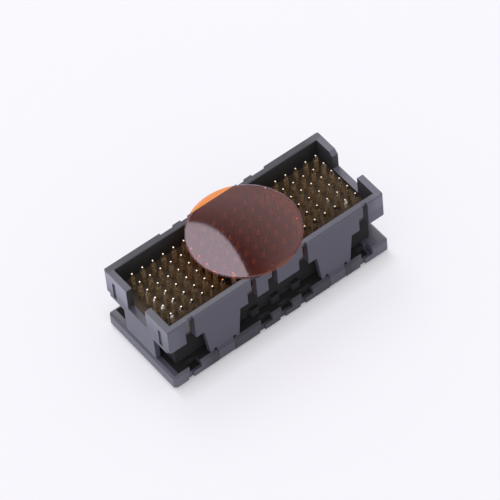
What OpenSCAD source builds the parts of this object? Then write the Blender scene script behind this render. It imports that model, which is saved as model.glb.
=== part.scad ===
// Array connector: the pin half of a board-to-board pair, 6 rows of 19 contacts on a 1.27 mm grid.
// Origin at the middle of the footprint, level with the lowest point of the solder balls.
// X runs along the connector, Y across it and Z up, away from the board. Millimetres.

/* [Contact array] */
// Columns of contacts along the connector
columns = 19; // [17:1:21]
// Rows of contacts across the connector
rows = 6; // [5:1:8]
// Distance between neighbouring contacts, both ways
pitch = 1.27; // [1.2:0.01:1.4]

/* [Shroud tray] */
// Clear space from the last column's centre to the end wall
end_space = 1.17; // [0.8:0.01:1.6]
// Clear space from the outer row's centre to the side wall
side_space = 1.315; // [1:0.005:2]
// Thickness of the two end walls
end_wall = 0.74; // [0.6:0.02:1.2]
// Thickness of the two side walls
side_wall = 0.76; // [0.6:0.02:1.2]
// Radius of the tray's upright outer corners
corner_r = 0.2; // [0.1:0.05:0.7]
// Height of the whole shroud above the base plate
shroud_h = 6.98; // [6:0.01:12]
// Depth of the cavity round the contacts
cavity_depth = 2.75; // [2:0.05:4]
// Thickness of the tray's floor
floor_t = 0.45; // [0.4:0.05:0.9]
// Depth of the small bevel inside the rim of the side walls
inner_bevel = 0.08; // [0.05:0.01:0.2]
// Depth of the bevel outside the rim of the front wall
outer_bevel = 0.15; // [0.05:0.01:0.25]

/* [Keying notches in the end walls] */
// Width of the notch in the first end wall
first_notch_w = 3.1; // [2:0.1:4]
// Depth of the notch in the first end wall
first_notch_depth = 2.7; // [1:0.1:2.8]
// Width of the notch in the last end wall
last_notch_w = 4.0; // [2:0.1:5]
// Depth of the notch in the last end wall
last_notch_depth = 2.3; // [1:0.1:2.8]
// Size of the bevel at one top corner of the last notch
notch_bevel = 0.45; // [0.2:0.05:0.7]

/* [Openings in the front wall] */
// Width of the solid wall at each corner, beyond the outer opening
corner_w = 2.0; // [1.5:0.1:2.3]
// Width of the wall panel that carries a latch skirt
panel_w = 6.4; // [6:0.1:6.8]
// Width of an opening's slot
slot_w = 0.62; // [0.4:0.02:0.8]
// Width that the opening's foot adds beside the slot
slot_foot_w = 0.55; // [0.3:0.05:0.6]
// Height of the opening's foot
slot_foot_h = 1.65; // [1:0.05:2]
// Height of the closed band of wall above the slots
rim_band = 0.5; // [0.3:0.05:0.8]
// Depth of the groove that carries a slot up across the band
band_groove = 0.3; // [0.2:0.05:0.45]

/* [Grooves outside the walls] */
// Depth of the four grooves in the back wall
back_groove_depth = 0.2; // [0.1:0.05:0.4]
// Width of an outer groove in the back wall
wide_groove_w = 1.6; // [1:0.1:1.8]
// Distance from the middle to an outer groove's centre
wide_groove_x = 5.7; // [5.5:0.1:8]
// Width of an inner groove in the back wall
narrow_groove_w = 0.9; // [0.5:0.1:1.2]
// Distance from the middle to an inner groove's centre
narrow_groove_x = 3.5; // [2:0.1:3.7]
// Width of a groove in an end wall
end_groove_w = 0.5; // [0.3:0.05:0.7]
// Depth of a groove in an end wall
end_groove_depth = 0.15; // [0.1:0.05:0.4]
// Distance from the tray's side to an end groove's centre
end_groove_inset = 1.5; // [1.2:0.05:1.8]
// Distance from the rim to the top of an end groove
end_groove_top = 0.9; // [0.6:0.1:2]

/* [Tower under the tray] */
// Cover from the last column's centre to the tower's end
tower_end_cover = 0.7; // [0.5:0.05:0.9]
// Cover from the outer row's centre to the tower's side
tower_side_cover = 0.83; // [0.6:0.01:1.1]
// Width of a rib on the tower's side
rib_w = 0.9; // [0.6:0.05:1.2]
// How far a rib stands out from the tower
rib_depth = 0.4; // [0.2:0.05:0.5]
// Height of a rib above the base plate
rib_h = 1.0; // [0.5:0.1:2]

/* [Latch skirts] */
// Width of a side skirt where it leaves the tray
skirt_top_w = 4.4; // [4:0.1:5]
// Width of a side skirt at the base plate
skirt_foot_w = 3.55; // [3.2:0.05:3.9]
// Thickness of the side skirts
skirt_t = 0.6; // [0.4:0.05:0.7]
// Width of a latch tongue
tongue_w = 1.95; // [1.6:0.05:2.2]
// How far a tongue stops short of the base plate's underside
tongue_short = 0.05; // [0.05:0.05:0.4]
// Diameter of the relief beside a tongue's root
relief_d = 0.4; // [0.3:0.02:0.6]
// Height of a relief's round end, at its centre, above the base plate
relief_rise = 0.15; // [0.1:0.05:0.4]
// Width of an end skirt
end_skirt_w = 4.8; // [4:0.1:5.4]
// Thickness of an end skirt
end_skirt_t = 0.55; // [0.4:0.05:0.6]
// Gap between an end skirt and the base plate
end_skirt_gap = 0.25; // [0.1:0.05:0.6]
// Width of the lip under an end wall
end_lip_w = 9.3; // [8:0.1:9.8]
// Height of the lip under an end wall
end_lip_h = 0.48; // [0.2:0.02:0.8]

/* [Base plate] */
// How far the plate stands out past the tray's ends
plate_end_proud = 0.11; // [0.05:0.01:0.3]
// How far the plate stands out past the tray's sides
plate_side_proud = 0.22; // [0.1:0.01:0.4]
// Thickness of the base plate
plate_t = 1.58; // [1.2:0.01:2]
// Bevel of the plate's upright corners
plate_corner = 0.25; // [0.1:0.05:0.6]
// Bevel round the plate's top
plate_bevel = 0.25; // [0.1:0.05:0.4]
// Width of an edge notch
notch_w = 1.3; // [0.8:0.05:1.4]
// How far a notch's ledge lies below the plate's top
notch_drop = 0.8; // [0.3:0.05:1]
// How far a middle notch reaches in above its ledge
notch_depth = 0.7; // [0.4:0.05:0.9]
// How far an outer notch reaches in above its ledge
outer_notch_depth = 1.0; // [0.6:0.05:1.2]
// Width of the recess beside a notch's first side
recess_w = 0.65; // [0.4:0.05:1]
// Depth of the recess
recess_depth = 0.2; // [0.1:0.05:0.4]
// Distance from the notch's first side to the recess's centre
recess_shift = 0; // [0:0.05:0.5]
// Clearance round a latch tongue
tongue_gap = 0.05; // [0.03:0.01:0.1]
// Diameter of a solder ball's pocket
pocket_d = 0.86; // [0.82:0.01:0.95]
// Depth of a solder ball's pocket
pocket_depth = 0.3; // [0.15:0.01:0.34]

/* [Contacts] */
// Width of a contact's blade, along the connector
blade_w = 0.42; // [0.35:0.01:0.46]
// Thickness of the contact strip
strip_t = 0.26; // [0.2:0.01:0.32]
// Distance from the rim down to the contact tips
tip_recess = 0.29; // [0.15:0.01:0.8]
// Length of the tapered tip
tip_l = 0.42; // [0.3:0.01:0.6]
// Width and thickness of the flat at the end of a tip
tip_flat = 0.13; // [0.08:0.01:0.18]
// Width of a contact's tail
tail_w = 0.3; // [0.24:0.01:0.34]
// Height of the shoulder where the tail widens to the blade
tail_shoulder = 0.2; // [0.1:0.05:0.2]
// Width of a contact's passage, which its barbs fill
passage_w = 0.56; // [0.5:0.01:0.62]
// Clearance between the strip and the passage's wide sides
strip_gap = 0.02; // [0.01:0.01:0.04]
// Clearance round a tail in the base plate
tail_gap = 0.05; // [0.03:0.01:0.07]
// Height of one barb
barb_h = 0.45; // [0.3:0.05:0.6]
// Height of the land at a barb's top, which grips the passage
barb_land = 0.12; // [0.05:0.01:0.2]
// Height of the lower barb's top above the base plate
lower_barb_z = 0.8; // [0.7:0.05:1.2]

/* [Solder balls and pick-up film] */
// Diameter of a solder ball
ball_d = 0.76; // [0.72:0.01:0.8]
// Height of the base plate above the board before soldering
standoff = 0.32; // [0.27:0.01:0.36]
// Diameter of the pick-up film
film_d = 11.8; // [10.5:0.1:13]
// Thickness of the pick-up film
film_t = 0.1; // [0.05:0.01:0.2]

/* [Hidden] */
column_names = [for (i = [1 : columns]) str(i < 10 ? "0" : "", i)];
$fn = 32;
// Overshoot of a cutter past the face that it opens
over = 0.1;
// Sizes in plan
array_l = (columns - 1) * pitch;
array_w = (rows - 1) * pitch;
cavity_l = array_l + 2 * end_space;
cavity_w = array_w + 2 * side_space;
tray_l = cavity_l + 2 * end_wall;
tray_w = cavity_w + 2 * side_wall;
tower_l = array_l + 2 * tower_end_cover;
tower_w = array_w + 2 * tower_side_cover;
plate_l = tray_l + 2 * plate_end_proud;
plate_w = tray_w + 2 * plate_side_proud;
passage_t = strip_t + 2 * strip_gap;
tail_hole_w = tail_w + 2 * tail_gap;
tail_hole_t = strip_t + 2 * tail_gap;
// Places along the connector
opening_w = slot_w + slot_foot_w;
outer_opening_x = tray_l / 2 - corner_w - opening_w / 2;
skirt_x = outer_opening_x - (opening_w + panel_w) / 2;
inner_opening_x = skirt_x - (panel_w + opening_w) / 2;
middle_opening_x = -pitch / 2;
pair_pitch = 2 * pitch;
rib_places = [for (k = [-1 : 1]) k * pair_pitch];
notch_places = [for (x = rib_places) x + pitch / 2];
// Levels
plate_top = standoff + plate_t;
rim_z = plate_top + shroud_h;
floor_z = rim_z - cavity_depth;
tray_z = floor_z - floor_t;
tip_z = rim_z - tip_recess;
ball_top = standoff + pocket_depth;
tongue_z = standoff + tongue_short;

function column_x(column) = (column - (columns - 1) / 2) * pitch;
function row_y(row) = (row - (rows - 1) / 2) * pitch;

// A block on its base, centred in plan
module block(l, w, h) {
    translate([-l / 2, -w / 2, 0]) cube([l, w, h]);
}

// A block with round upright corners
module rounded_block(l, w, h, r) {
    linear_extrude(h) union() {
        square([l - 2 * r, w], center = true);
        square([l, w - 2 * r], center = true);
        for (x = [-1, 1], y = [-1, 1])
            translate([x * (l / 2 - r), y * (w / 2 - r)]) circle(r);
    }
}

// An outline drawn across the connector's front, made thick towards the back from y
module front_profile(points, y, thickness) {
    translate([0, y + thickness, 0]) rotate([90, 0, 0]) linear_extrude(thickness) polygon(points);
}

// An outline drawn across the connector's end, made thick along the connector from x
module end_profile(points, x, thickness) {
    translate([x, 0, 0]) rotate([90, 0, 90]) linear_extrude(thickness) polygon(points);
}

module both_sides() {
    children();
    mirror([0, 1, 0]) children();
}

module both_ends() {
    children();
    mirror([1, 0, 0]) children();
}

// One cutter through every contact's place, from level z up by height h
module contact_cuts(l, w, z, h) {
    translate([0, 0, z]) linear_extrude(h)
        for (column = [0 : columns - 1], row = [0 : rows - 1])
            translate([column_x(column), row_y(row)]) square([l, w], center = true);
}

// A cutter that bevels a rim edge at y, from x along the connector; side is 1 where it cuts beyond y
module rim_bevel(y, side, size, x, length) {
    end_profile([
        [y - side * over, rim_z - size - over],
        [y + side * (size + over), rim_z + over],
        [y - side * over, rim_z + over]
    ], x, length);
}

// The cavity, with a bevel round the inside of the rim
module cavity() {
    translate([0, 0, floor_z]) block(cavity_l, cavity_w, cavity_depth + over);
    both_sides() rim_bevel(cavity_w / 2, 1, inner_bevel, -cavity_l / 2, cavity_l);
}

// A keying notch through one end wall; side is -1 or 1
module end_notch(side, width, depth) {
    translate([side * (tray_l - end_wall) / 2, 0, rim_z - depth])
        block(end_wall + 2 * over, width, depth + over);
}

// An opening in the front wall: a slot with a wider foot, and a groove across the band above it
module front_opening(x) {
    slot_x = x + opening_w / 2 - slot_w;
    front = -tray_w / 2 - over;
    through = side_wall + 2 * over;
    translate([slot_x, front, tray_z - over]) cube([slot_w, through, rim_z - rim_band - tray_z + over]);
    translate([x - opening_w / 2, front, tray_z - over]) cube([opening_w, through, slot_foot_h + over]);
    translate([slot_x, front, rim_z - rim_band - over])
        cube([slot_w, band_groove + over, rim_band + 2 * over]);
}

// A groove up the whole of the back wall's outside
module back_groove(x, width) {
    translate([x, tray_w / 2, tray_z - over])
        block(width, 2 * back_groove_depth, rim_z - tray_z + 2 * over);
}

// The pair of grooves in the outside of the last end wall
module end_grooves() {
    both_sides() translate([tray_l / 2, tray_w / 2 - end_groove_inset, tray_z - over])
        block(2 * end_groove_depth, end_groove_w, rim_z - end_groove_top - tray_z + over);
}

// The moulding above the skirts: walls and floor with all their cuts
module tray() {
    difference() {
        translate([0, 0, tray_z]) rounded_block(tray_l, tray_w, rim_z - tray_z, corner_r);
        cavity();
        mirror([0, 1, 0])
            rim_bevel(tray_w / 2, -1, outer_bevel, -tray_l / 2 - over, tray_l + 2 * over);
        end_notch(-1, first_notch_w, first_notch_depth);
        end_notch(1, last_notch_w, last_notch_depth);
        rim_bevel(last_notch_w / 2, 1, notch_bevel, tray_l / 2 - end_wall - over, end_wall + 2 * over);
        for (x = [-outer_opening_x, -inner_opening_x, middle_opening_x, inner_opening_x, outer_opening_x])
            front_opening(x);
        both_ends() {
            back_groove(wide_groove_x, wide_groove_w);
            back_groove(narrow_groove_x, narrow_groove_w);
            end_grooves();
        }
    }
}

// The block under the tray that guides the contacts down to the base plate
module tower() {
    translate([0, 0, plate_top]) block(tower_l, tower_w, tray_z - plate_top);
    both_sides() for (x = rib_places)
        translate([x, -tower_w / 2, plate_top]) block(rib_w, 2 * rib_depth, rib_h);
}

// A tapered skirt on the front, with the tongue that drops into the plate's notch, flush with its edge
module side_skirt() {
    front = -tray_w / 2;
    root_z = plate_top + relief_rise;
    difference() {
        union() {
            front_profile([
                [-skirt_top_w / 2, tray_z],
                [-skirt_foot_w / 2, plate_top],
                [skirt_foot_w / 2, plate_top],
                [skirt_top_w / 2, tray_z]
            ], front, skirt_t);
            end_profile([
                [front, root_z],
                [-plate_w / 2, plate_top - plate_bevel],
                [-plate_w / 2, tongue_z],
                [front + skirt_t, tongue_z],
                [front + skirt_t, root_z]
            ], -tongue_w / 2, tongue_w);
        }
        for (side = [-1, 1]) translate([side * (tongue_w + relief_d) / 2, front, 0]) {
            translate([0, -over, root_z])
                rotate([-90, 0, 0]) cylinder(d = relief_d, h = skirt_t + 2 * over);
            translate([0, 0, plate_top - over]) block(relief_d, 2 * (skirt_t + over), relief_rise + over);
        }
    }
}

// The skirt on the last end, under a wide lip
module end_skirt() {
    foot_z = plate_top + end_skirt_gap;
    translate([(tray_l - end_skirt_t) / 2, 0, 0]) {
        translate([0, 0, tray_z - end_lip_h]) block(end_skirt_t, end_lip_w, end_lip_h);
        translate([0, 0, foot_z]) block(end_skirt_t, end_skirt_w, tray_z - foot_z);
    }
}

module shroud_housing() {
    color("#2b2c33") difference() {
        union() {
            tray();
            tower();
            both_sides() both_ends() translate([skirt_x, 0, 0]) side_skirt();
            both_ends() end_skirt();
        }
        contact_cuts(passage_w, passage_t, plate_top - over, floor_z - plate_top + 2 * over);
    }
}

// A plate's outline in plan, reaching x and y from its middle, with its four corners cut off
function cut_corners(x, y, corner) = [
    [corner - x, -y], [x - corner, -y], [x, corner - y], [x, y - corner],
    [x - corner, y], [corner - x, y], [-x, y - corner], [-x, corner - y]
];

// The plate's outline from the front or an end, reaching half to each side, with its top bevelled
function plate_side(half) = [
    [-half, standoff], [half, standoff], [half, plate_top - plate_bevel],
    [half - plate_bevel, plate_top], [plate_bevel - half, plate_top], [-half, plate_top - plate_bevel]
];

module plate_block() {
    intersection() {
        translate([0, 0, standoff]) linear_extrude(plate_t)
            polygon(cut_corners(plate_l / 2, plate_w / 2, plate_corner));
        front_profile(plate_side(plate_l / 2), -plate_w / 2, plate_w);
        end_profile(plate_side(plate_w / 2), -plate_l / 2, plate_l);
    }
}

// An edge notch in the front of the plate, with a ledge under it and a narrow recess at its first side
module plate_notch(x, depth) {
    translate([x, -plate_w / 2, plate_top - notch_drop]) block(notch_w, 2 * depth, notch_drop + over);
    translate([x - notch_w / 2 + recess_shift, -plate_w / 2, standoff - over])
        block(recess_w, 2 * recess_depth, plate_t + 2 * over);
}

// The notch in the front of the plate that a latch tongue drops into
module tongue_notch(x) {
    depth = plate_side_proud + skirt_t + tongue_gap;
    translate([x, -plate_w / 2, standoff - over])
        block(tongue_w + 2 * tongue_gap, 2 * depth, plate_t + 2 * over);
}

module base_plate() {
    color("#26272d") difference() {
        plate_block();
        both_sides() {
            for (x = notch_places) plate_notch(x, notch_depth);
            for (x = [-outer_opening_x, outer_opening_x]) plate_notch(x, outer_notch_depth);
            for (x = [-skirt_x, skirt_x]) tongue_notch(x);
        }
        contact_cuts(tail_hole_w, tail_hole_t, standoff - over, plate_t + 2 * over);
        for (column = [0 : columns - 1], row = [0 : rows - 1])
            translate([column_x(column), row_y(row), standoff - over])
                cylinder(d = pocket_d, h = pocket_depth + over);
    }
}

// The outline of one side of a contact's strip: tail, body with two barbs, blade and tip
function contact_edge() = let (
    barb_tops = [plate_top + lower_barb_z, tray_z]
) concat(
    [[tail_w / 2, ball_top], [tail_w / 2, plate_top], [blade_w / 2, plate_top + tail_shoulder]],
    [for (top = barb_tops) each [
        [blade_w / 2, top - barb_h],
        [passage_w / 2, top - barb_land],
        [passage_w / 2, top],
        [blade_w / 2, top]
    ]],
    [[blade_w / 2, tip_z - tip_l], [tip_flat / 2, tip_z]]
);

// A list of points with its mirror image, as one closed outline
function mirrored(points) = concat(points, [
    for (i = [len(points) - 1 : -1 : 0]) [-points[i][0], points[i][1]]
]);

// One stamped contact: the strip's outline crossed with its thickness, which also tapers to the tip
module contact() {
    strip_edge = [[strip_t / 2, ball_top], [strip_t / 2, tip_z - tip_l], [tip_flat / 2, tip_z]];
    intersection() {
        front_profile(mirrored(contact_edge()), -strip_t, 2 * strip_t);
        end_profile(mirrored(strip_edge), -passage_w, 2 * passage_w);
    }
}

module contacts_column(column) {
    color("#c9a24a") for (row = [0 : rows - 1])
        translate([column_x(column), row_y(row), 0]) contact();
}

// One solder ball, flat on top where it is fused to its tail
module solder_ball() {
    intersection() {
        translate([0, 0, ball_d / 2]) sphere(d = ball_d);
        block(2 * ball_d, 2 * ball_d, ball_top);
    }
}

module solder_balls_column(column) {
    color("#b9bcc0") for (row = [0 : rows - 1])
        translate([column_x(column), row_y(row), 0]) solder_ball();
}

// The disc that a vacuum nozzle lifts the connector by
module pickup_film() {
    color("#b8541c", 0.6) translate([0, 0, rim_z]) cylinder(d = film_d, h = film_t, $fn = 96);
}

shroud_housing();
base_plate();
pickup_film();
for (i = [0 : columns - 1]) {
    contacts_column(i);
    solder_balls_column(i);
}
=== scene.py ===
"""The array connector's finish: moulded plastic, gold-plated contacts, solder balls and an amber film."""
import math

import bpy
import numpy as np
from mathutils import Matrix, Vector


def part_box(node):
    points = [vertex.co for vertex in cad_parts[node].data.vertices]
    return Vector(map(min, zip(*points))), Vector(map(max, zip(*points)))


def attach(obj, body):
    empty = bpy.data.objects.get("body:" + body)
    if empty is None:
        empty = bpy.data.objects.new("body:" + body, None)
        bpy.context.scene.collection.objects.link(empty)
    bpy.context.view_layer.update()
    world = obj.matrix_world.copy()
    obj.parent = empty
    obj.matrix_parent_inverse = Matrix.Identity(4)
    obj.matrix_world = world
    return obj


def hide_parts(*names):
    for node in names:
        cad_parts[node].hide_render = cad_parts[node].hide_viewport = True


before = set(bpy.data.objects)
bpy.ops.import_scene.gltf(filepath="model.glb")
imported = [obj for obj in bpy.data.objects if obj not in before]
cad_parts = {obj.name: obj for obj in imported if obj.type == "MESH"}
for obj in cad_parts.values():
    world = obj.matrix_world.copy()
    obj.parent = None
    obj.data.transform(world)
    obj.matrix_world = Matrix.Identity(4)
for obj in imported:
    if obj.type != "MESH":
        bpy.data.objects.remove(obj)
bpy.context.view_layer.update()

MM = 0.001
BODY = "root"

# Camera, fitted to the 114 contact tips: a long lens from the front left, tilted a little
CAMERA_AZIMUTH = math.radians(-32.546)
CAMERA_ELEVATION = math.radians(51.728)
CAMERA_ROLL = math.radians(-6.416)
CAMERA_DISTANCE = 399.25 * MM
CAMERA_TARGET = Vector((1.664, 1.877, 2.707)) * MM
SENSOR_WIDTH = 36.0
CAMERA_LENS = 288.0
CAMERA_CLIP = (10 * MM, 10.0)

# Paper floor. The camera and mirrors see a glow in place of a share of it, less of it close to the part:
# painted shade that deepens the shadow there. Mirrors see the glow bluer, a painted tint on the plastic's
# reflections.
# The plate's half length is taken a little short, and distance past it counts more.
PAPER_WHITE = (0.96, 0.955, 0.91)
PAPER_GLOW = (0.93, 0.92, 1.0)
PAPER_MIRRORED = (0.78, 0.77, 1.0)
PAPER_ROUGHNESS = 0.9
PAPER_GLOSS = 0.2
PAPER_HALF = 1.5
GLOW_NEAR = 0.22
GLOW_GAIN = 0.4
GLOW_RISE = (0.2 * MM, 2.2 * MM)
PLATE_HALF = (13.2 * MM, 5.47 * MM)
PAST_END = 4

# Studio: an even pale surround and one softbox behind the part
STUDIO_WHITE = (0.94, 0.94, 1.0)
STUDIO_STRENGTH = 0.92
LIT_POINT = Vector((0, 0, 4 * MM))
KEY_AZIMUTH = math.radians(168.835)
KEY_ELEVATION = math.radians(50)
KEY_DISTANCE = 0.50
KEY_SIZE = (0.22, 0.24)
KEY_POWER = 0.52

# The shaded card, by distances from the softbox's middle: its left edge and size, then which way it lightens,
# right and up, where that begins and over what length
CARD_START = 0.1101
CARD_WIDTH = 0.06
CARD_HALF_HEIGHT = 0.12
CARD_LEAN = (0.74, -0.67)
CARD_DARK = 58.44 * MM
CARD_RISE = 15 * MM
CARD_COLOURS = ((0.20, 0.18, 0.18), (1.50, 1.30, 1.18))

# Moulded plastic: its colours. The plate's are a little paler than the housing's, painted light that
# makes up for its dim place low by the board
HOUSING_COLOURS = ((0.040, 0.039, 0.056), (0.050, 0.049, 0.070))
PLATE_COLOURS = ((0.062, 0.060, 0.080), (0.072, 0.070, 0.092))
# Painted shade inside the tray, and a lighter, browner painted shade on its floor
PLASTIC_INSIDE_SHADE = (0.014, 0.013, 0.010)
PLASTIC_FLOOR_SHADE = (0.060, 0.038, 0.016)
# Painted shade, darkest: low down under the tray and under the film
PLASTIC_DEEP_SHADE = (0.003, 0.003, 0.002)
# Painted light: the pale colour that the ends, rims and second sill go over to
PLASTIC_PAINTED_LIGHT = (0.260, 0.255, 0.315)

# Moulded plastic: its finish. TONE says how far a noise lightens the colour, MATT how much rougher it gets
PLASTIC_IOR = 1.55
PLASTIC_ROUGHNESS = 0.32
INSIDE_MATT = 0.3
DEEP_MATT = 0.35
PLASTIC_SHEEN = 0.2
SHEEN_ROUGHNESS = 0.4
SHEEN_TINT = (0.8, 0.8, 1.0)
FLOW_SIZE = 1.1 * MM
FLOW_DETAIL = (4.0, 0.6)
FLOW_RANGE = (0.35, 0.7)
FLOW_TONE = 0.6
FLOW_MATT = 0.08
GRAIN_SIZE = 0.09 * MM
GRAIN_RANGE = (0.3, 0.75)
GRAIN_TONE = 0.25
GRAIN_MATT = 0.06
GRAIN_DEPTH = 0.006 * MM
GRAIN_STRENGTH = 0.25
PLASTIC_EDGE = 0.05 * MM
EDGE_SAMPLES = 6

# Moulded plastic: where its painted shade and painted light begin and end, out from the middle of the part
# and up from the board
DEEP_Z = 5.6 * MM
FLOOR_Z = 6.2 * MM
RIM_Z = 8.6 * MM
RIM_Y = 4.5 * MM
FRONT_Y = -4.6 * MM
TRAY_HALF = (12.61 * MM, 4.51 * MM)
END_X = 13.3 * MM

# Painted shade on the sides of the keying notches, from the first to the wider and less deep second, and on
# the back rim
NOTCH_HALF = 1.56 * MM
NOTCH_Z = 6.25 * MM
NOTCH_CHANGE = (-1 * MM, 1 * MM)
SECOND_WIDER = 0.45 * MM
SECOND_HIGHER = 0.4 * MM
NOTCH_SHADE = 0.9
BACK_RIM_SHADE = 0.3

# Painted shade on the plate where the housing stands over it, and on its front edge
HOUSED_X = -0.85 * MM
HOUSED_HALF = (11.85 * MM, 5.15 * MM)
PLATE_EDGE_FADE = (8.5 * MM, 10.5 * MM)
PLATE_EDGE_SHADE = 0.5

# Painted light on the ends, which are paler than the rest: a little on the whole face, more higher up and
# most towards the back
END_PALE = 0.17
END_UP = (6.4 * MM, 8.6 * MM)
END_UP_PALE = 0.38
END_BACK_Z = (6 * MM, 7 * MM)
END_BACK_Y = (0.0, 2 * MM)
END_BACK_PALE = 0.5

# Painted light on the sill of the second notch, and on the rims at the ends and along the front
SILL_X = (12.55 * MM, 12.65 * MM)
SILL_Z = 6.5 * MM
SILL_HALF = (2.0 * MM, 0.12 * MM)
SILL_PALE = 0.46
END_RIM_X = (11.3 * MM, 12.6 * MM)
END_RIM_PALE = 0.14
SECOND_RIM_X = (0.0, 1 * MM)
SECOND_RIM_Z = (7 * MM, 7.5 * MM)
SECOND_RIM_PALE = 0.2
FRONT_RIM_PALE = 0.15

# Painted shade where the film covers: a disc a little behind the film's middle, and the rims right under the
# film
COVERED_MIDDLE = (0.3 * MM, 0.5 * MM)
COVERED_RADIUS = 5.3 * MM
COVERED_RIM_RADIUS = 5.8 * MM
COVERED_RIM_Z = 8.5 * MM

# Contacts: bright gold at the tips; below them duller and patchy, and darker as painted shade; and dark where
# the film
# # covers them, painted shade too
TIP_RISE = (8.0 * MM, 8.15 * MM)
TIP_COLOURS = ((0.82, 0.68, 0.50), (0.93, 0.82, 0.66))
TIP_FILM_SHADE = 0.75
CONTACT_SIDE = (0.55, 0.39, 0.22)
CONTACT_DULL = (0.24, 0.16, 0.08)
CONTACT_FILM_SHADE = (0.016, 0.013, 0.010)
SIDE_METALLIC = 0.4
CONTACT_ROUGHNESS = 0.2
SIDE_MATT = 0.1
COVERED_MATT = 0.35
TONE_SIZE = 0.35 * MM
TONE_RANGE = (0.3, 0.7)
TONE_MATT = 0.1
PATCH_SIZE = 0.25 * MM
PATCH_RANGE = (0.40, 0.60)
CONTACT_EDGE = 0.03 * MM

# Solder balls
SOLDER_COLOURS = ((0.60, 0.61, 0.63), (0.78, 0.79, 0.80))
SOLDER_ROUGHNESS = 0.25
FROST_SIZE = 0.12 * MM
FROST_DETAIL = 3.0
FROST_MATT = 0.25
FROST_STRENGTH = 0.2
FROST_DEPTH = 0.01 * MM

# Film: a thin sheet, bowed down a little towards both ends and slightly twisted
FILM_THICKNESS = 0.03 * MM
FILM_LIFT = 0.04 * MM
FILM_BOW = 0.00085 / MM
FILM_SKEW = -0.000136 / MM ** 2
FILM_CURL = 0.000198 / MM ** 2
FILM_RINGS = 28
FILM_SPOKES = 144
FILM_TINT = (0.98, 0.56, 0.20)
FILM_IOR = 1.64
FILM_HAZE = (0.60, 0.11, 0.05)
HAZE_SHARE = 0.035
FILM_SHEEN = (1.0, 0.87, 1.0)
FILM_ROUGHNESS = 0.02

# How wide a hard and a soft limit of a colour is
HARD = 0.01 * MM
SOFT = 0.1 * MM

# The sockets of a blend node that carry colours: the two it takes in and the one it gives out
BLEND_IN = (6, 7)
BLEND_OUT = 2


class Value:
    """A shader socket. Python's operators on it add Math nodes, whichever side the number is on."""

    def __init__(self, graph, socket):
        self.graph = graph
        self.socket = socket

    def math(self, operation, *others):
        """Adds a Math node that takes this socket first."""
        return self.graph.node("ShaderNodeMath", {"operation": operation}, [self, *others])

    def __add__(self, other):
        return self.math("ADD", other)

    def __sub__(self, other):
        return self.math("SUBTRACT", other)

    def __mul__(self, other):
        return self.math("MULTIPLY", other)

    def __rsub__(self, other):
        return self.graph.node("ShaderNodeMath", {"operation": "SUBTRACT"}, [other, self])

    def __abs__(self):
        return self.math("ABSOLUTE")

    __radd__ = __add__
    __rmul__ = __mul__


class Graph:
    """The node tree of one material or world, emptied to start with."""

    def __init__(self, owner):
        owner.use_nodes = True
        self.tree = owner.node_tree
        self.tree.nodes.clear()

    def node(self, kind, settings=None, inputs=(), output=0):
        """Adds a node: its settings first, then values or links of its sockets, by place or by name."""
        node = self.tree.nodes.new(kind)
        for name, value in (settings or {}).items():
            setattr(node, name, value)
        pairs = inputs.items() if isinstance(inputs, dict) else enumerate(inputs)
        for key, value in pairs:
            if isinstance(value, Value):
                self.tree.links.new(value.socket, node.inputs[key])
            else:
                node.inputs[key].default_value = value
        return Value(self, node.outputs[output]) if len(node.outputs) else node

    def mix(self, factor, a, b):
        """A blend of two colours, each a link or three numbers."""
        a, b = (colour if isinstance(colour, Value) else rgba(colour) for colour in (a, b))
        return self.node("ShaderNodeMix", {"data_type": "RGBA"}, {
            "Factor": factor, BLEND_IN[0]: a, BLEND_IN[1]: b,
        }, output=BLEND_OUT)

    def noise(self, size, detail=2.0, roughness=0.5):
        """Noise from 0 to 1 whose lumps are about size across, fixed to the object."""
        place = self.node("ShaderNodeTexCoord", output="Object")
        return self.node("ShaderNodeTexNoise", None, {
            "Vector": place, "Scale": 1.0 / size, "Detail": detail, "Roughness": roughness,
        })

    def ramp(self, value, low, high):
        """0 below low, 1 above high and a straight rise between them."""
        return self.node("ShaderNodeMapRange", None, [value, low, high, 0.0, 1.0])

    def place(self):
        """The point's X, Y and Z, fixed to the object."""
        point = self.node("ShaderNodeTexCoord", output="Object")
        return [self.node("ShaderNodeSeparateXYZ", None, [point], output=axis) for axis in range(3)]

    def above(self, value, level):
        """1 where the value is past the level, softly."""
        return self.ramp(value, level, level + SOFT)

    def below(self, value, level):
        """1 where the value hasn't reached the level, softly."""
        return 1 - self.above(value, level)

    def within(self, value, limit):
        """1 where the value lies between the limit and its negative, 0 elsewhere."""
        return 1 - self.ramp(abs(value), limit, limit + HARD)

    def disc(self, x, y, radius):
        """1 where x and y are no further than the radius from 0, at every height."""
        return self.within((x * x + y * y).math("SQRT"), radius)

    def covered(self, x, y):
        """1 for what the film covers, where the plastic and contacts get painted shade."""
        return self.disc(x - COVERED_MIDDLE[0], y - COVERED_MIDDLE[1], COVERED_RADIUS)

    def most(self, first, *others):
        """The largest of some values."""
        for other in others:
            first = first.math("MAXIMUM", other)
        return first

    def surface(self, shader):
        """Makes the shader the material's surface."""
        self.node("ShaderNodeOutputMaterial", None, {"Surface": shader})


def rgba(colour):
    """A colour's three numbers with 1 for alpha."""
    return (*colour, 1.0)


def new_material(name):
    """A new material and its graph."""
    material = bpy.data.materials.new(name)
    return material, Graph(material)


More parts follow.
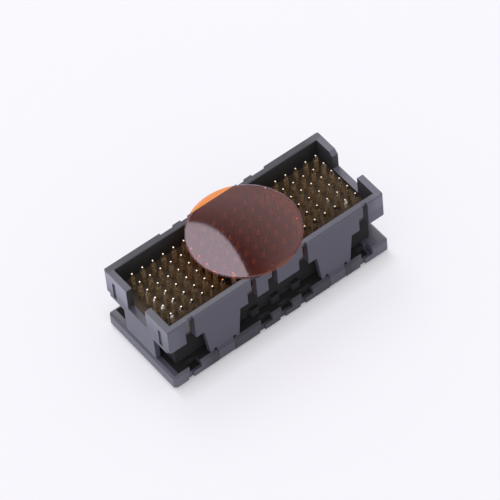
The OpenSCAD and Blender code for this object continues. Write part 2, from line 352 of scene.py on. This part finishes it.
def housing_shade(graph, x, y, z):
    """Painted shade: 1 in the tray, nearly as much on the sides of the two keying notches, and a third on the
    back rim.
    """
    second = graph.ramp(x, *NOTCH_CHANGE)
    notch = graph.within(x, END_X) * graph.above(z - second * SECOND_HIGHER, NOTCH_Z)
    notch = notch * (1 - graph.ramp(abs(y) - second * SECOND_WIDER, NOTCH_HALF, NOTCH_HALF + HARD))
    back_rim = graph.above(y, RIM_Y) * graph.above(z, RIM_Z)
    tray = graph.within(x, TRAY_HALF[0]) * graph.within(y, TRAY_HALF[1])
    return graph.most(tray, notch * NOTCH_SHADE, back_rim * BACK_RIM_SHADE)


def plate_shade(graph, x, y, _):
    """Painted shade: 1 where the housing stands over the plate, and half as much along its front edge except
    at the ends.
    """
    front = graph.below(y, FRONT_Y) * (1 - graph.ramp(abs(x), *PLATE_EDGE_FADE))
    housed = graph.within(x - HOUSED_X, HOUSED_HALF[0]) * graph.within(y, HOUSED_HALF[1])
    return graph.most(housed, front * PLATE_EDGE_SHADE)


def painted_light(graph, x, y, z):
    """Painted light: how far the plastic goes over to its pale colour, on the end faces, the second sill and
    the rims.
    """
    upper = graph.ramp(z, *END_UP) * END_UP_PALE
    back = graph.ramp(z, *END_BACK_Z) * graph.ramp(y, *END_BACK_Y) * END_BACK_PALE
    end_face = (1 - graph.within(x, END_X + HARD)) * (END_PALE + upper + back)
    sill = graph.ramp(x, *SILL_X) * graph.within(x, END_X)
    sill = sill * graph.within(y, SILL_HALF[0]) * graph.within(z - SILL_Z, SILL_HALF[1])
    second_rim = graph.ramp(x, *SECOND_RIM_X) * graph.ramp(z, *SECOND_RIM_Z) * SECOND_RIM_PALE
    end_rim = graph.ramp(abs(x), *END_RIM_X) * (END_RIM_PALE + second_rim)
    front_rim = graph.below(y, FRONT_Y) * graph.above(z, RIM_Z)
    return graph.most(end_face, sill * SILL_PALE, end_rim, front_rim * FRONT_RIM_PALE)


def moulded_plastic(name, colours, shade_of):
    """Black glass-filled plastic: faint flow mottling, a fine grain and slightly rounded edges.

    Where the mask that it is given is 1 it is darker and quite matt, and darkest low down and under the film:
    painted shade. The ends, the rims and the second notch's sill are paler: painted light."""
    material, graph = new_material(name)
    x, y, z = graph.place()
    # Painted shade on the rims right under the film, and the darkest painted shade low down and under the
    # film
    covered_rim = graph.disc(x, y, COVERED_RIM_RADIUS) * graph.above(z, COVERED_RIM_Z)
    inside = graph.most(shade_of(graph, x, y, z), covered_rim)
    deep = graph.most(graph.below(z, DEEP_Z), graph.covered(x, y), covered_rim)
    mottle = graph.ramp(graph.noise(FLOW_SIZE, *FLOW_DETAIL), *FLOW_RANGE)
    speck = graph.ramp(graph.noise(GRAIN_SIZE), *GRAIN_RANGE)
    skin = graph.mix(mottle * FLOW_TONE + speck * GRAIN_TONE, *colours)
    # Painted light on the ends, the rims and the second notch's sill
    skin_with_light = graph.mix(painted_light(graph, x, y, z), skin, PLASTIC_PAINTED_LIGHT)
    # Painted shade inside the tray: its walls, its floor, and darkest low down and under the film
    tray_shade = graph.mix(graph.below(z, FLOOR_Z), PLASTIC_INSIDE_SHADE, PLASTIC_FLOOR_SHADE)
    shade_colour = graph.mix(deep, tray_shade, PLASTIC_DEEP_SHADE)
    matt = inside * INSIDE_MATT + inside * deep * DEEP_MATT + mottle * FLOW_MATT + speck * GRAIN_MATT
    rounded = graph.node("ShaderNodeBevel", {"samples": EDGE_SAMPLES}, {"Radius": PLASTIC_EDGE})
    graph.surface(graph.node("ShaderNodeBsdfPrincipled", None, {
        "Base Color": graph.mix(inside, skin_with_light, shade_colour),
        "Roughness": PLASTIC_ROUGHNESS + matt,
        "IOR": PLASTIC_IOR,
        "Sheen Weight": PLASTIC_SHEEN,
        "Sheen Roughness": SHEEN_ROUGHNESS,
        "Sheen Tint": rgba(SHEEN_TINT),
        "Normal": graph.node("ShaderNodeBump", None, {
            "Strength": GRAIN_STRENGTH, "Distance": GRAIN_DEPTH, "Height": speck, "Normal": rounded,
        }),
    }))
    return material


def gold_plating():
    """Gold over stamped strip: warm and a little uneven, with softly rounded edges, darkened below the tips
    and under the film as painted shade.
    """
    material, graph = new_material("gold_plating")
    x, y, z = graph.place()
    covered = graph.covered(x, y)
    tip = graph.ramp(z, *TIP_RISE)
    side = 1 - tip
    tone = graph.noise(TONE_SIZE)
    patch = graph.ramp(graph.noise(PATCH_SIZE), *PATCH_RANGE)
    # Painted shade: the sides below the tips darker than the tips, and darker still under the film
    side_colour = graph.mix(covered, graph.mix(patch, CONTACT_DULL, CONTACT_SIDE), CONTACT_FILM_SHADE)
    tip_colour = graph.mix(graph.ramp(tone, *TONE_RANGE), *TIP_COLOURS)
    graph.surface(graph.node("ShaderNodeBsdfPrincipled", None, {
        # Painted shade on the tips under the film
        "Base Color": graph.mix(tip * (1 - covered * TIP_FILM_SHADE), side_colour, tip_colour),
        "Metallic": tip + side * (1 - covered) * SIDE_METALLIC,
        "Roughness": CONTACT_ROUGHNESS + tone * TONE_MATT + side * SIDE_MATT + covered * COVERED_MATT,
        "Normal": graph.node("ShaderNodeBevel", {"samples": EDGE_SAMPLES}, {"Radius": CONTACT_EDGE}),
    }))
    return material


def solder():
    """Tin alloy solder: pale grey, satin, with a faint frosted skin."""
    material, graph = new_material("solder")
    frost = graph.noise(FROST_SIZE, FROST_DETAIL)
    graph.surface(graph.node("ShaderNodeBsdfPrincipled", None, {
        "Base Color": graph.mix(frost, *SOLDER_COLOURS),
        "Metallic": 1.0,
        "Roughness": SOLDER_ROUGHNESS + frost * FROST_MATT,
        "Normal": graph.node("ShaderNodeBump", None, {
            "Strength": FROST_STRENGTH, "Distance": FROST_DEPTH, "Height": frost,
        }),
    }))
    return material


def amber_film():
    """Clear amber film: each face tints and slightly clouds what lies behind it, and the face on the side
    of the camera mirrors the studio as a pane does."""
    material, graph = new_material("amber_film")
    tint = graph.node("ShaderNodeBsdfTransparent", None, {"Color": rgba(FILM_TINT)})
    gloss = graph.node("ShaderNodeBsdfGlossy", None, {
        "Color": rgba(FILM_SHEEN), "Roughness": FILM_ROUGHNESS,
    })
    haze = graph.node("ShaderNodeBsdfDiffuse", None, {"Color": rgba(FILM_HAZE)})
    body = graph.node("ShaderNodeMixShader", None, [HAZE_SHARE, tint, haze])
    leaving = graph.node("ShaderNodeNewGeometry", output="Backfacing")
    mirrored = graph.node("ShaderNodeFresnel", None, {"IOR": FILM_IOR}) * (1 - leaving)
    graph.surface(graph.node("ShaderNodeMixShader", None, [mirrored, body, gloss]))
    return material


def add_mesh(name, points, faces, material):
    """A smooth-shaded piece at the origin, from points in metres and faces."""
    mesh = bpy.data.meshes.new(name)
    mesh.from_pydata(points, [], faces)
    mesh.materials.append(material)
    mesh.shade_smooth()
    piece = bpy.data.objects.new(name, mesh)
    bpy.context.scene.collection.objects.link(piece)
    return piece


def film_disc(material):
    """The film as one closed sheet: two discs on polar grids, joined round the rim.

    A point at x and y from the middle lies bow * x * x / 2 + x * y * (skew * x + curl * y) below it."""
    low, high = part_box("pickup_film")
    radius = (high.x - low.x) / 2
    rings, spokes = FILM_RINGS, FILM_SPOKES
    r = radius * np.linspace(0, 1, rings + 1)[1:, None]
    t = np.linspace(0, 2 * math.pi, spokes, endpoint=False)[None, :]
    x, y = (r * np.cos(t)).ravel(), (r * np.sin(t)).ravel()
    middle = low.z + FILM_LIFT
    z = middle - FILM_BOW * x ** 2 / 2 - x * y * (FILM_SKEW * x + FILM_CURL * y)
    sheet = np.vstack([[[0, 0, middle]], np.column_stack([x, y, z])])
    points = np.vstack([sheet, sheet + [0, 0, FILM_THICKNESS]])
    count = len(sheet)
    ring = np.arange(spokes)
    after = (ring + 1) % spokes
    faces = []
    for k in range(rings - 1):
        a, b = 1 + k * spokes, 1 + (k + 1) * spokes
        faces.append(np.column_stack([a + after, b + after, b + ring, a + ring]))
    lower = np.vstack(faces)
    upper = lower[:, ::-1] + count
    edge = 1 + (rings - 1) * spokes
    rim = np.column_stack([edge + ring, edge + after, edge + after + count, edge + ring + count])
    fan_low = np.column_stack([1 + after, 1 + ring, np.zeros(spokes, int)])
    fan_high = np.column_stack([1 + ring, 1 + after, np.zeros(spokes, int)]) + [count, count, count]
    smooth_faces = [*lower.tolist(), *upper.tolist(), *fan_low.tolist(), *fan_high.tolist()]
    film = add_mesh("pickup_film_sheet", points.tolist(), smooth_faces + rim.tolist(), material)
    film.data.polygons.foreach_set("use_smooth", np.arange(len(smooth_faces) + spokes) < len(smooth_faces))
    return film


def set_material(node, material):
    """Gives all of a CAD node's faces one material."""
    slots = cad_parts[node].data.materials
    slots.clear()
    slots.append(material)


def aim(thing, place, target, roll=0.0):
    """Puts a lamp or camera at a place, looking at a target, turned about its own axis by roll."""
    thing.location = place
    turn = (target - place).to_track_quat("-Z", "Y").to_matrix() @ Matrix.Rotation(roll, 3, "Z")
    thing.rotation_euler = turn.to_euler()


def direction(azimuth, elevation):
    """The unit vector towards a viewer who looks along +Y at azimuth 0."""
    return Vector((
        math.sin(azimuth) * math.cos(elevation),
        -math.cos(azimuth) * math.cos(elevation),
        math.sin(elevation),
    ))


def add_camera():
    """The photo's camera."""
    camera = bpy.data.objects.new("camera", bpy.data.cameras.new("camera"))
    bpy.context.scene.collection.objects.link(camera)
    camera.data.sensor_width = SENSOR_WIDTH
    camera.data.lens = CAMERA_LENS
    camera.data.clip_start, camera.data.clip_end = CAMERA_CLIP
    back = direction(CAMERA_AZIMUTH, CAMERA_ELEVATION)
    aim(camera, CAMERA_TARGET + back * CAMERA_DISTANCE, CAMERA_TARGET, CAMERA_ROLL)
    bpy.context.scene.camera = camera


def add_softbox():
    """The softbox behind the part, hidden from the camera."""
    lamp = bpy.data.lights.new("key_softbox", "AREA")
    lamp.shape = "RECTANGLE"
    lamp.size, lamp.size_y = KEY_SIZE
    lamp.energy = KEY_POWER
    box = bpy.data.objects.new("key_softbox", lamp)
    bpy.context.scene.collection.objects.link(box)
    box.visible_camera = False
    aim(box, LIT_POINT + direction(KEY_AZIMUTH, KEY_ELEVATION) * KEY_DISTANCE, LIT_POINT)


def add_shaded_card():
    """A card right of the softbox, in its plane, which the film mirrors. It shades from dark to pale."""
    way = direction(KEY_AZIMUTH, KEY_ELEVATION)
    right = way.cross(Vector((0, 0, 1))).normalized()
    up = right.cross(way)
    middle = LIT_POINT + way * KEY_DISTANCE
    sides = (CARD_START, CARD_START + CARD_WIDTH)
    corners = [tuple(middle + right * side + up * level) for side, level in (
        (sides[0], -CARD_HALF_HEIGHT), (sides[1], -CARD_HALF_HEIGHT),
        (sides[1], CARD_HALF_HEIGHT), (sides[0], CARD_HALF_HEIGHT))]
    material, graph = new_material("shaded_card")
    slope = right * CARD_LEAN[0] + up * CARD_LEAN[1]
    place = graph.node("ShaderNodeTexCoord", output="Object")
    along = graph.node("ShaderNodeVectorMath", {"operation": "DOT_PRODUCT"}, [place, slope], output="Value")
    dark = slope.dot(middle) + CARD_DARK
    shade = graph.mix(graph.ramp(along, dark, dark + CARD_RISE), *CARD_COLOURS)
    graph.surface(graph.node("ShaderNodeEmission", None, {"Color": shade, "Strength": 1.0}))
    add_mesh("shaded_card", corners, [(0, 1, 2, 3)], material)


def add_studio():
    """The even pale surround."""
    world = bpy.data.worlds.new("studio")
    bpy.context.scene.world = world
    graph = Graph(world)
    surround = graph.node("ShaderNodeBackground", None, {
        "Color": rgba(STUDIO_WHITE), "Strength": STUDIO_STRENGTH,
    })
    graph.node("ShaderNodeOutputWorld", None, {"Surface": surround})


def add_floor():
    """A pale sheet of paper far wider than the view, which glows for the camera and for mirrors."""
    material, graph = new_material("pale_paper")
    paper = graph.node("ShaderNodeBsdfPrincipled", None, {
        "Base Color": rgba(PAPER_WHITE), "Roughness": PAPER_ROUGHNESS, "Specular IOR Level": PAPER_GLOSS,
    })
    mirrored = graph.node("ShaderNodeLightPath", output="Is Glossy Ray")
    # Painted tint: mirrors see the glow bluer than the camera does
    glow = graph.node("ShaderNodeEmission", None, {
        "Color": graph.mix(mirrored, PAPER_GLOW, PAPER_MIRRORED), "Strength": 1.0,
    })
    seen = graph.most(*(graph.node("ShaderNodeLightPath", output=kind) for kind in (
        "Is Camera Ray", "Is Glossy Ray", "Is Transmission Ray")))
    # Painted shade: less glow close to the part's outline deepens its shadow there
    x, y, _ = graph.place()
    beside = graph.most((abs(x) - PLATE_HALF[0]) * PAST_END, abs(y) - PLATE_HALF[1])
    share = GLOW_NEAR + graph.ramp(beside, *GLOW_RISE) * GLOW_GAIN
    graph.surface(graph.node("ShaderNodeMixShader", None, [seen * share, paper, glow]))
    half = PAPER_HALF
    corners = [(-half, -half, 0), (half, -half, 0), (half, half, 0), (-half, half, 0)]
    add_mesh("paper_floor", corners, [(0, 1, 2, 3)], material)


def dress():
    """Gives each CAD node its material, and puts the film's sheet in place of its solid."""
    housing = moulded_plastic("housing_plastic", HOUSING_COLOURS, housing_shade)
    plate = moulded_plastic("plate_plastic", PLATE_COLOURS, plate_shade)
    gold = gold_plating()
    tin = solder()
    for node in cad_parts:
        if node.startswith("contacts_column"):
            set_material(node, gold)
        elif node.startswith("solder_balls"):
            set_material(node, tin)
    set_material("shroud_housing", housing)
    set_material("base_plate", plate)
    film = film_disc(amber_film())
    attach(film, BODY)
    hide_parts("pickup_film")


add_camera()
add_studio()
add_softbox()
add_shaded_card()
add_floor()
dress()
bpy.context.scene.view_settings.view_transform = "Standard"
